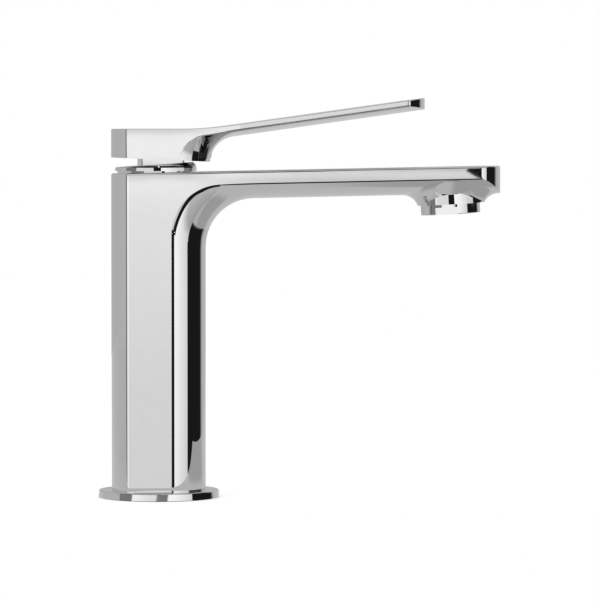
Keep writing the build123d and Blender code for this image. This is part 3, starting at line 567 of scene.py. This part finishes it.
def spread(nodes, links, value, low, high):
    """The noise's middle range turned into a range of its own."""
    change = nodes.new("ShaderNodeMapRange")
    change.inputs["From Min"].default_value = NOISE_LOW
    change.inputs["From Max"].default_value = NOISE_HIGH
    change.inputs["To Min"].default_value = low
    change.inputs["To Max"].default_value = high
    links.new(value, change.inputs["Value"])
    return change.outputs["Result"]


def bump(nodes, links, height, depth, below=None):
    relief = nodes.new("ShaderNodeBump")
    relief.inputs["Strength"].default_value = 1
    relief.inputs["Distance"].default_value = depth
    links.new(height, relief.inputs["Height"])
    if below is not None:
        links.new(below, relief.inputs["Normal"])
    return relief.outputs["Normal"]


def make_material(name, colour, metallic, roughness, grain_scale, depth, stretch=(1, 1, 1), shade=0.06,
                  waves=None):
    """Surface with a grain in its colour, roughness and relief.

    Roughness is a low and a high value, and waves are the scale and depth of a slow unevenness.
    """
    material, nodes, links = new_material(name)
    shader = nodes["Principled BSDF"]
    shader.inputs["Metallic"].default_value = metallic
    fine = grain(nodes, links, grain_scale, stretch)
    tone = nodes.new("ShaderNodeMix")
    tone.data_type = "RGBA"
    tone.inputs["A"].default_value = (*[c * (1 - shade) for c in colour], 1)
    tone.inputs["B"].default_value = (*[c * (1 + shade) for c in colour], 1)
    links.new(spread(nodes, links, fine, 0, 1), tone.inputs["Factor"])
    links.new(tone.outputs["Result"], shader.inputs["Base Color"])
    slow = grain(nodes, links, grain_scale / SLOW_GRAIN, stretch)
    links.new(spread(nodes, links, slow, *roughness), shader.inputs["Roughness"])
    below = bump(nodes, links, grain(nodes, links, waves[0], detail=1.0), waves[1]) if waves else None
    links.new(bump(nodes, links, fine, depth, below), shader.inputs["Normal"])
    return material


MATERIALS = {
    "chrome": make_material("chrome", (0.62, 0.62, 0.62), 1, (0.004, 0.012), 260, 1e-7, shade=0.012,
                            waves=(45, 8e-6)),
    "brass": make_material("brass", (0.70, 0.52, 0.24), 1, (0.20, 0.32), 900, 8e-6, (1, 1, 6)),
    "steel": make_material("steel", (0.56, 0.56, 0.57), 1, (0.22, 0.34), 900, 8e-6, (8, 1, 1)),
    "rubber": make_material("rubber", (0.035, 0.035, 0.036), 0, (0.55, 0.75), 1500, 3e-5, shade=0.15),
    "ceramic": make_material("ceramic", (0.82, 0.80, 0.75), 0, (0.10, 0.18), 1200, 3e-6, shade=0.03),
    "cartridge_plastic": make_material("cartridge_plastic", (0.74, 0.74, 0.72), 0, (0.35, 0.5), 1100, 1.5e-5,
                                       shade=0.03),
    "grey_plastic": make_material("grey_plastic", (0.30, 0.31, 0.32), 0, (0.4, 0.55), 1100, 2e-5, shade=0.05),
}


def dress():
    """Gives every node the material of its slot in the record."""
    for part in frame["record"]["subparts"]:
        node = frame["nodes"][part["node"]]
        node.data.materials.clear()
        node.data.materials.append(MATERIALS[part["material_slot"]])


# Studio

def aim(thing, target):
    thing.rotation_mode = "QUATERNION"
    thing.rotation_quaternion = (Vector(target) - thing.location).to_track_quat("-Z", "Y")


def add_camera():
    data = bpy.data.cameras.new("camera")
    camera = bpy.data.objects.new("camera", data)
    bpy.context.scene.collection.objects.link(camera)
    angle = radians(CAMERA_AZIMUTH)
    camera.location = (CAMERA_DISTANCE * sin(angle), -CAMERA_DISTANCE * cos(angle), CAMERA_HEIGHT)
    data.sensor_width = SENSOR_WIDTH
    data.lens = LENS
    data.clip_end = CAMERA_CLIP_END
    aim(camera, (AIM_X, 0, AIM_Z))
    bpy.context.scene.camera = camera


def mirrored(nodes, links):
    """Share of 1 for rays off metal or through glass, and the share for camera rays."""
    path = nodes.new("ShaderNodeLightPath")
    either = nodes.new("ShaderNodeMath")
    either.operation = "MAXIMUM"
    links.new(path.outputs["Is Glossy Ray"], either.inputs[0])
    links.new(path.outputs["Is Transmission Ray"], either.inputs[1])
    return either.outputs[0], path.outputs["Is Camera Ray"]


def add_world():
    """White surroundings, a little dimmer for the light that they give."""
    world = bpy.data.worlds.new("studio")
    world.use_nodes = True
    nodes, links = world.node_tree.nodes, world.node_tree.links
    background = nodes["Background"]
    background.inputs["Color"].default_value = (1, 1, 1, 1)
    metal, camera = mirrored(nodes, links)
    shown = nodes.new("ShaderNodeMath")
    shown.operation = "MAXIMUM"
    links.new(metal, shown.inputs[0])
    links.new(camera, shown.inputs[1])
    strength = nodes.new("ShaderNodeMapRange")
    strength.inputs["To Min"].default_value = WORLD_LIGHT
    strength.inputs["To Max"].default_value = 1.0
    links.new(shown.outputs[0], strength.inputs["Value"])
    links.new(strength.outputs["Result"], background.inputs["Strength"])
    bpy.context.scene.world = world


def step(value, edge, width):
    """Smooth change from 0 to 1 about an edge."""
    t = np.clip((value - edge) / width + 0.5, 0, 1)
    return t * t * (3 - 2 * t)


def band(value, low, high, width):
    return step(value, low, width) * (1 - step(value, high, width))


def mix(first, second, share):
    return first + (second - first) * share


def follow(curve, place):
    """Value of a curve, given as a row of places and a row of values, at a place."""
    return np.interp(place, *curve)


def bars(height, rows):
    """Depth of the dark bars at a height."""
    return sum(depth * band(height, low, high, soft) for low, high, soft, depth in rows)


def left_box(turn, height):
    """Brightness of the left softbox."""
    past_seam = step(turn, SEAM_TURN, SEAM_SOFT)
    glow = follow(LEFT_BOX, height) - (1 - past_seam) * bars(height, LEFT_BARS)
    glow = glow - past_seam * (FALL_DEPTH * step(turn, FALL_TURN, FALL_SOFT) + bars(height, RIGHT_BARS))
    gleam = (1 - step(turn, GLEAM_TURN, GLEAM_SOFT)) * (1 - step(height, GLEAM_TOP, GLEAM_TOP_SOFT))
    return glow + GLEAM_RISE * gleam


def tent_glow(turn, height):
    """Brightness of the studio wall at a turn and a height."""
    gap_left, gap_right = follow(GAP_LEFT, height), follow(GAP_RIGHT, height)
    flag_left, flag_right = follow(FLAG_LEFT, height), follow(FLAG_RIGHT, height)
    back_left, back_right = follow(BACK_LEFT, height), follow(BACK_RIGHT, height)
    dark = follow(GAP_SHADE, height)
    glow = follow(ROOM, turn)
    back = band(turn, back_left, back_right, BACK_SOFT) * step(height, BACK_BOTTOM, BACK_FOOT_SOFT)
    glow = mix(glow, BACK_SHADE, back)
    left = step(turn, back_right, LEFT_SOFT) * (1 - step(turn, gap_left, GAP_SHARP))
    glow = mix(glow, left_box(turn, height), left)
    right_box = follow(RIGHT_BOX, turn) * follow(RIGHT_FADE, height)
    glow = mix(glow, right_box, band(turn, gap_right, flag_left, RIGHT_SOFT))
    glow = mix(glow, dark, step(turn, gap_left, GAP_SHARP) * (1 - step(turn, gap_right, GAP_SOFT)))
    flag_shade = mix(FLAG_FOOT_SHADE, dark, step(height, FLAG_BOTTOM, FLAG_FOOT_SOFT))
    glow = mix(glow, flag_shade, step(turn, flag_left, FLAG_SOFT) * (1 - step(turn, flag_right, FLAG_FADE)))
    upper = step(height, UPPER_BOTTOM, UPPER_BOTTOM_SOFT) * band(turn, UPPER_LEFT, UPPER_RIGHT, UPPER_SOFT)
    glow = mix(glow, UPPER_SHADE, upper)
    strip = step(height, STRIP_BOTTOM, STRIP_BOTTOM_SOFT) * band(turn, STRIP_LEFT, STRIP_RIGHT, STRIP_SOFT)
    return mix(glow, STRIP_GLOW, strip)


def floor_glow(x, y):
    """Brightness of the table in the metal, with a painted shadow of the black flag on the right and darker
    towards the left.
    """
    turn = np.degrees(np.arctan2(x - COLUMN_EDGE_X / MM_PER_M, -y))
    # Painted shadow of the black flag: the table is made darker in the turns behind the flag, on its right
    # part
    shade = band(turn, TABLE_SHADE_LEFT, TABLE_SHADE_RIGHT, TABLE_TURN_SOFT)
    return mix(follow(TABLE, x), TABLE_SHADE, shade * step(x, TABLE_SHADE_X, TABLE_SHADE_SOFT))


def add_stage(name, vertices, faces, glow):
    """Mesh of the studio, with a stored brightness that its material uses."""
    mesh = bpy.data.meshes.new(name)
    mesh.from_pydata(vertices, [], faces)
    values = mesh.attributes.new("glow", "FLOAT", "POINT")
    values.data.foreach_set("value", np.array(glow, np.float32))
    piece = bpy.data.objects.new(name, mesh)
    bpy.context.scene.collection.objects.link(piece)
    material, nodes, links = new_material(name)
    mesh.materials.append(material)
    shine = nodes.new("ShaderNodeEmission")
    shine.inputs["Color"].default_value = (1, 1, 1, 1)
    stored = nodes.new("ShaderNodeAttribute")
    stored.attribute_name = "glow"
    links.new(stored.outputs["Fac"], shine.inputs["Strength"])
    return piece, nodes, links, shine.outputs[0]


def grid_faces(rows, columns, closed):
    """Four-cornered faces of a grid of points, row by row, joined at its ends if closed."""
    last = columns if closed else columns - 1
    return [(row * columns + k, row * columns + (k + 1) % columns, (row + 1) * columns + (k + 1) % columns,
             (row + 1) * columns + k) for row in range(rows - 1) for k in range(last)]


def add_tent():
    """Round wall with softboxes and black flags on it, a ceiling and a ground, all seen in the metal only."""
    turns = np.concatenate([np.arange(*run) for run in TURN_RUNS])
    low, high = np.linspace(TENT_LOW, FINE_LOW, LOW_ROWS), np.linspace(FINE_HIGH, TENT_HIGH, HIGH_ROWS)
    heights = np.concatenate([low] + [np.arange(*run) for run in HEIGHT_RUNS] + [high])
    ground = [(radius, TENT_LOW) for radius in np.linspace(GROUND_MIN_R, TENT_R, GROUND_RINGS)[:-1]]
    profile = ground + [(TENT_R, height) for height in heights]
    angles = np.radians(turns)
    vertices, glow = [], []
    for radius, height in profile:
        vertices.extend((radius * sin(angle), -radius * cos(angle), height) for angle in angles)
        glow.extend(tent_glow(turns, height))
    faces = grid_faces(len(profile), len(turns), True)
    faces.append(tuple(range(len(vertices), len(vertices) + len(turns))))
    vertices.extend((TENT_R * sin(angle), -TENT_R * cos(angle), TENT_HIGH) for angle in angles)
    glow.extend([CEILING] * len(turns))
    piece, nodes, links, shine = add_stage("tent", vertices, faces, glow)
    links.new(shine, nodes["Material Output"].inputs["Surface"])
    piece.visible_camera = False
    piece.visible_diffuse = False
    piece.visible_shadow = False


def add_floor():
    """White table that keeps the faucet's shadow."""
    left = np.linspace(FLOOR_LEFT, FLOOR_FINE_LEFT - FLOOR_GAP, FLOOR_LEFT_COLUMNS)
    rear = np.linspace(FLOOR_FINE_REAR + FLOOR_GAP, FLOOR_REAR, FLOOR_REAR_ROWS)
    xs = np.concatenate([left, np.arange(FLOOR_FINE_LEFT, FLOOR_RIGHT, FLOOR_STEP)])
    ys = np.concatenate([np.arange(FLOOR_FRONT, FLOOR_FINE_REAR, FLOOR_STEP), rear])
    vertices = [(x, y, 0) for y in ys for x in xs]
    glow = [floor_glow(x, y) for x, y, z in vertices]
    nodes, links, shine = add_stage("floor", vertices, grid_faces(len(ys), len(xs), False), glow)[1:]
    shader = nodes["Principled BSDF"]
    shader.inputs["Base Color"].default_value = (FLOOR_WHITE, FLOOR_WHITE, FLOOR_WHITE, 1)
    shader.inputs["Roughness"].default_value = FLOOR_ROUGHNESS
    shader.inputs["Specular IOR Level"].default_value = 0
    shader.inputs["Emission Color"].default_value = (1, 1, 1, 1)
    metal, camera = mirrored(nodes, links)
    white = nodes.new("ShaderNodeMath")
    white.operation = "MULTIPLY"
    white.inputs[1].default_value = FLOOR_LIFT
    links.new(camera, white.inputs[0])
    links.new(white.outputs[0], shader.inputs["Emission Strength"])
    # Rays off metal or through glass see the table as an emitted brightness from floor_glow, which holds the
    # painted shadow of the flag, in place of the lit table
    either = nodes.new("ShaderNodeMixShader")
    links.new(metal, either.inputs["Fac"])
    links.new(shader.outputs["BSDF"], either.inputs[1])
    links.new(shine, either.inputs[2])
    links.new(either.outputs[0], nodes["Material Output"].inputs["Surface"])


def add_lamp():
    """Key light for the floor's shadow and the parts that aren't chrome."""
    data = bpy.data.lights.new("key", "AREA")
    data.shape = "DISK"
    data.size = LAMP_SIZE
    data.energy = LAMP_ENERGY
    lamp = bpy.data.objects.new("key", data)
    bpy.context.scene.collection.objects.link(lamp)
    lamp.location = LAMP_PLACE
    lamp.visible_glossy = False
    aim(lamp, LAMP_AIM)


dress()
polished("body_casting", "faucet_body", body_surfaces())
polished("handle", "lever", handle_surfaces())
polished("cap", "faucet_body", cap_surfaces())
add_camera()
add_world()
add_tent()
add_floor()
add_lamp()

bpy.context.scene.view_settings.view_transform = "Standard"
